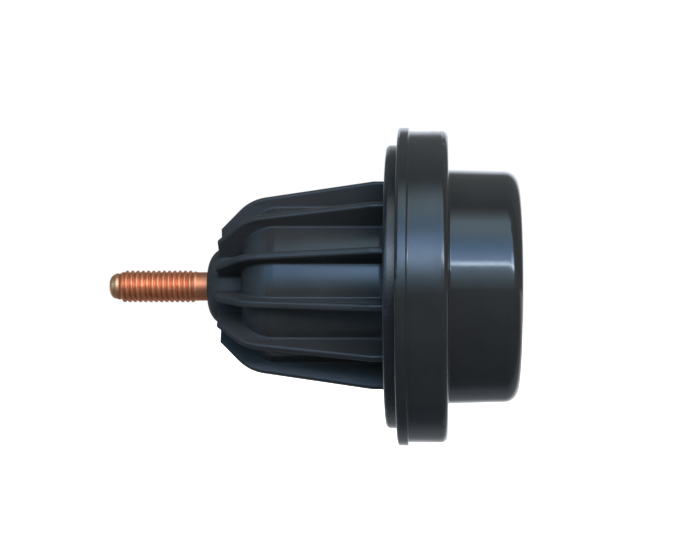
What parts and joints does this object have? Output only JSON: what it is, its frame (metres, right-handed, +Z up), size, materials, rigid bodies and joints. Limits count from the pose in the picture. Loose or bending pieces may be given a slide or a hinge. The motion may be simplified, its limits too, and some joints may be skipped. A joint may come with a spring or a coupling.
{
  "type": "medium-voltage bushing well",
  "caption": "Flanged moulded bushing well with a ribbed tapering shank, a threaded copper stud at its nose, a sealing gasket and an open tapered well with a stud inside.",
  "frame": {"origin": "on the axis, in the plane of the gasket face that seals on the tank wall", "axes": "+X along the axis from the oil side stud to the mouth of the well, +Z up as pictured"},
  "size_m": [0.1211, 0.0932, 0.0932],
  "materials": {
    "moulding": "black moulded resin with a soft gloss",
    "gasket_rubber": "matt black rubber",
    "copper": "bare rolled copper"
  },
  "bodies": {
    "root": {"bushing_body": "moulding", "tank_gasket": "gasket_rubber", "through_conductor": "copper", "well_stud": "copper"}
  },
  "joints": []
}
